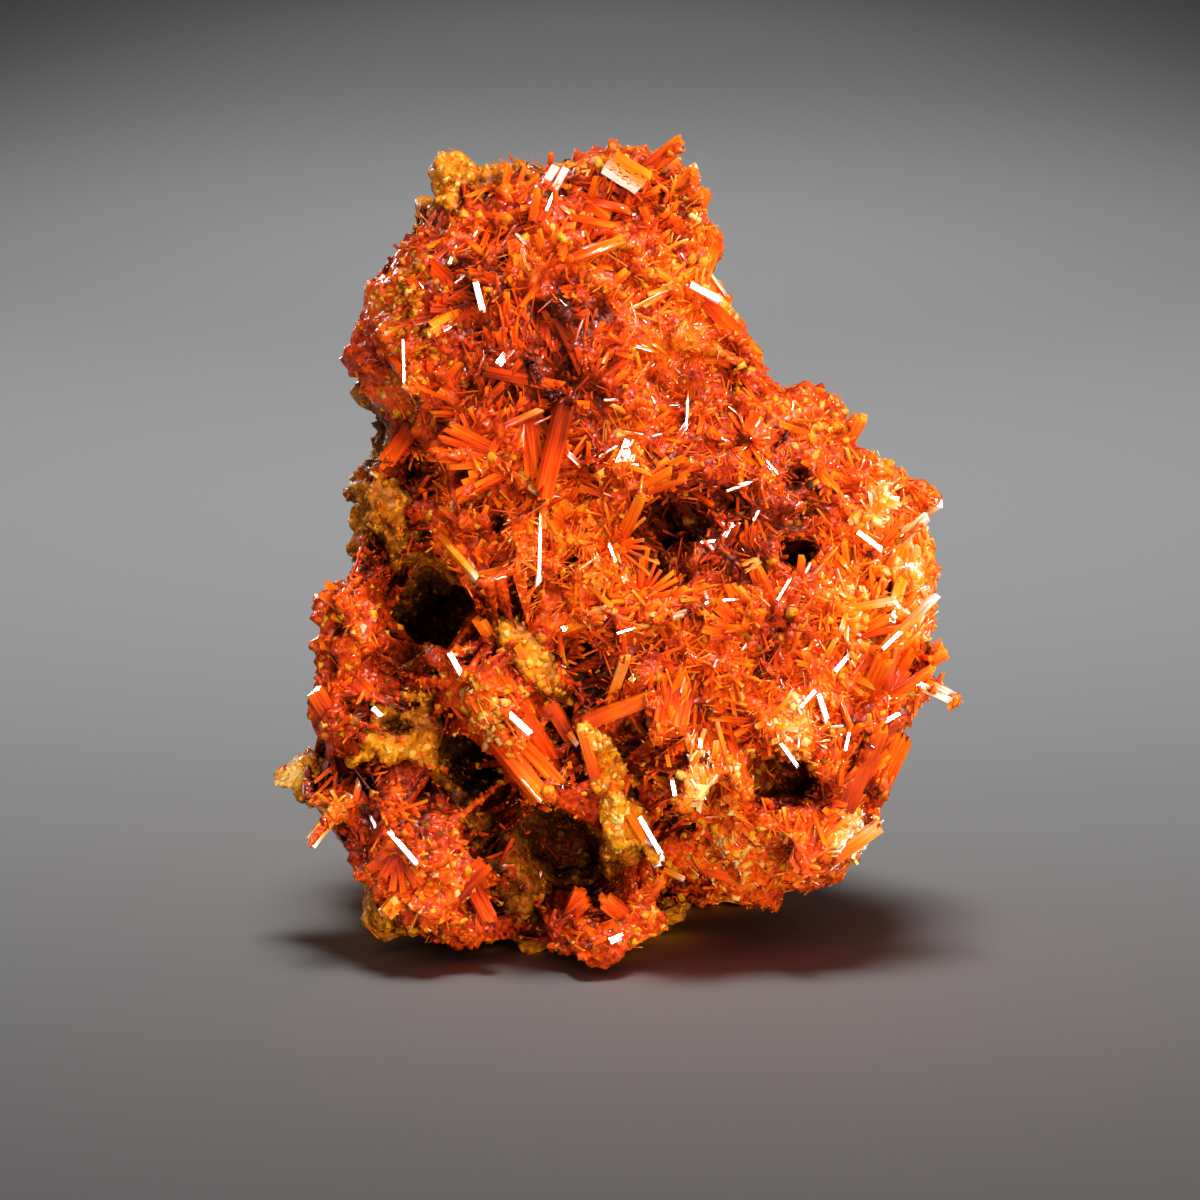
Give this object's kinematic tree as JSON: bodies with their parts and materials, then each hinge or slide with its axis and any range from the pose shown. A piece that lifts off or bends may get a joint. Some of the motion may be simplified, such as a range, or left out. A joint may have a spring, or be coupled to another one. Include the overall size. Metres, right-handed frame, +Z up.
{
  "type": "crocoite hand specimen",
  "caption": "Upright mineral specimen: tangled four-sided orange-red crystals grown over a porous brown rock with a flat resting base.",
  "frame": {"origin": "on the flat resting base of the matrix", "axes": "+Z up, -Y out of the crystal face, +X to the right of someone who looks at that face"},
  "size_m": [0.0753, 0.054, 0.0898],
  "materials": {
    "gossan": "rough, granular, ochre to dark brown",
    "crocoite": "bright resinous to adamantine, orange red"
  },
  "bodies": {
    "root": {"gossan_matrix": "gossan", "main_crystal_mass": "crocoite", "left_lobe_crystals": "crocoite", "diagonal_ridge_crystals": "crocoite", "foot_crystals": "crocoite", "toe_crystals": "crocoite"}
  },
  "joints": []
}
